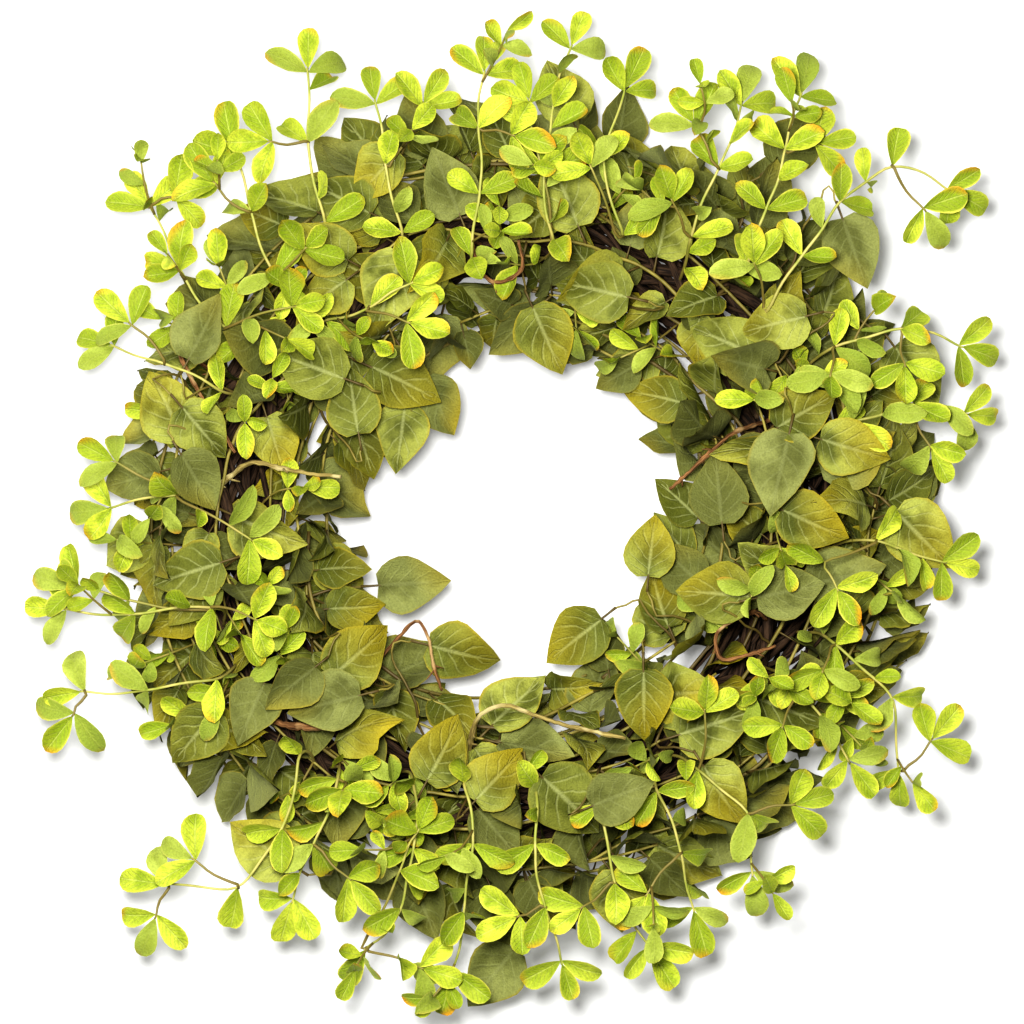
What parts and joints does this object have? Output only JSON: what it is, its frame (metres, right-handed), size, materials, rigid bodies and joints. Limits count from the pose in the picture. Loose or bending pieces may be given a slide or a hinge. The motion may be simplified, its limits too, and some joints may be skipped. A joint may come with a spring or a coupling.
{
  "type": "mixed foliage twig wreath",
  "caption": "Round decorative wreath of wound twig canes dressed with olive broad-leaf sprays and lime green sprigs round an open middle.",
  "frame": {"origin": "middle of the wreath's outline, level with the lowest points of the back, where it rests", "axes": "+Z out of the front towards a viewer, +Y up as the wreath hangs, +X to a viewer's right"},
  "size_m": [0.5878, 0.6045, 0.1362],
  "materials": {
    "cane": "matte",
    "twig": "matte",
    "broad_leaf": "matte",
    "lime_leaf": "matte"
  },
  "bodies": {
    "root": {"broadleaf_spray_01": "broad_leaf", "broadleaf_spray_02": "broad_leaf", "broadleaf_spray_03": "broad_leaf", "broadleaf_spray_04": "broad_leaf", "broadleaf_spray_05": "broad_leaf", "broadleaf_spray_06": "broad_leaf", "broadleaf_spray_07": "broad_leaf", "broadleaf_spray_08": "broad_leaf", "broadleaf_spray_09": "broad_leaf", "broadleaf_spray_10": "broad_leaf", "broadleaf_spray_11": "broad_leaf", "broadleaf_spray_12": "broad_leaf", "broadleaf_spray_13": "broad_leaf", "broadleaf_spray_14": "broad_leaf", "broadleaf_spray_15": "broad_leaf", "broadleaf_spray_16": "broad_leaf", "cane_inner_1": "cane", "cane_inner_2": "cane", "cane_outer_1": "cane", "cane_outer_2": "cane", "cane_outer_3": "cane", "cane_outer_4": "cane", "lime_sprig_01": "lime_leaf", "lime_sprig_02": "lime_leaf", "lime_sprig_03": "lime_leaf", "lime_sprig_04": "lime_leaf", "lime_sprig_05": "lime_leaf", "lime_sprig_06": "lime_leaf", "lime_sprig_07": "lime_leaf", "lime_sprig_08": "lime_leaf", "lime_sprig_09": "lime_leaf", "lime_sprig_10": "lime_leaf", "lime_sprig_11": "lime_leaf", "lime_sprig_12": "lime_leaf", "lime_sprig_13": "lime_leaf", "lime_sprig_14": "lime_leaf", "lime_sprig_15": "lime_leaf", "lime_sprig_16": "lime_leaf", "lime_sprig_17": "lime_leaf", "lime_sprig_18": "lime_leaf", "lime_sprig_19": "lime_leaf", "lime_sprig_20": "lime_leaf", "lime_sprig_21": "lime_leaf", "lime_sprig_22": "lime_leaf", "lime_sprig_23": "lime_leaf", "lime_sprig_24": "lime_leaf", "lime_sprig_25": "lime_leaf", "lime_sprig_26": "lime_leaf", "lime_sprig_27": "lime_leaf", "lime_sprig_28": "lime_leaf", "twig_fork_left": "twig", "twig_inner_left": "twig", "twig_inner_right": "twig", "twig_loop_right": "twig", "twig_loop_top": "twig", "twig_pale_below_hole": "twig", "twig_thick_lower_left": "twig", "twig_thin_left": "twig"}
  },
  "joints": []
}
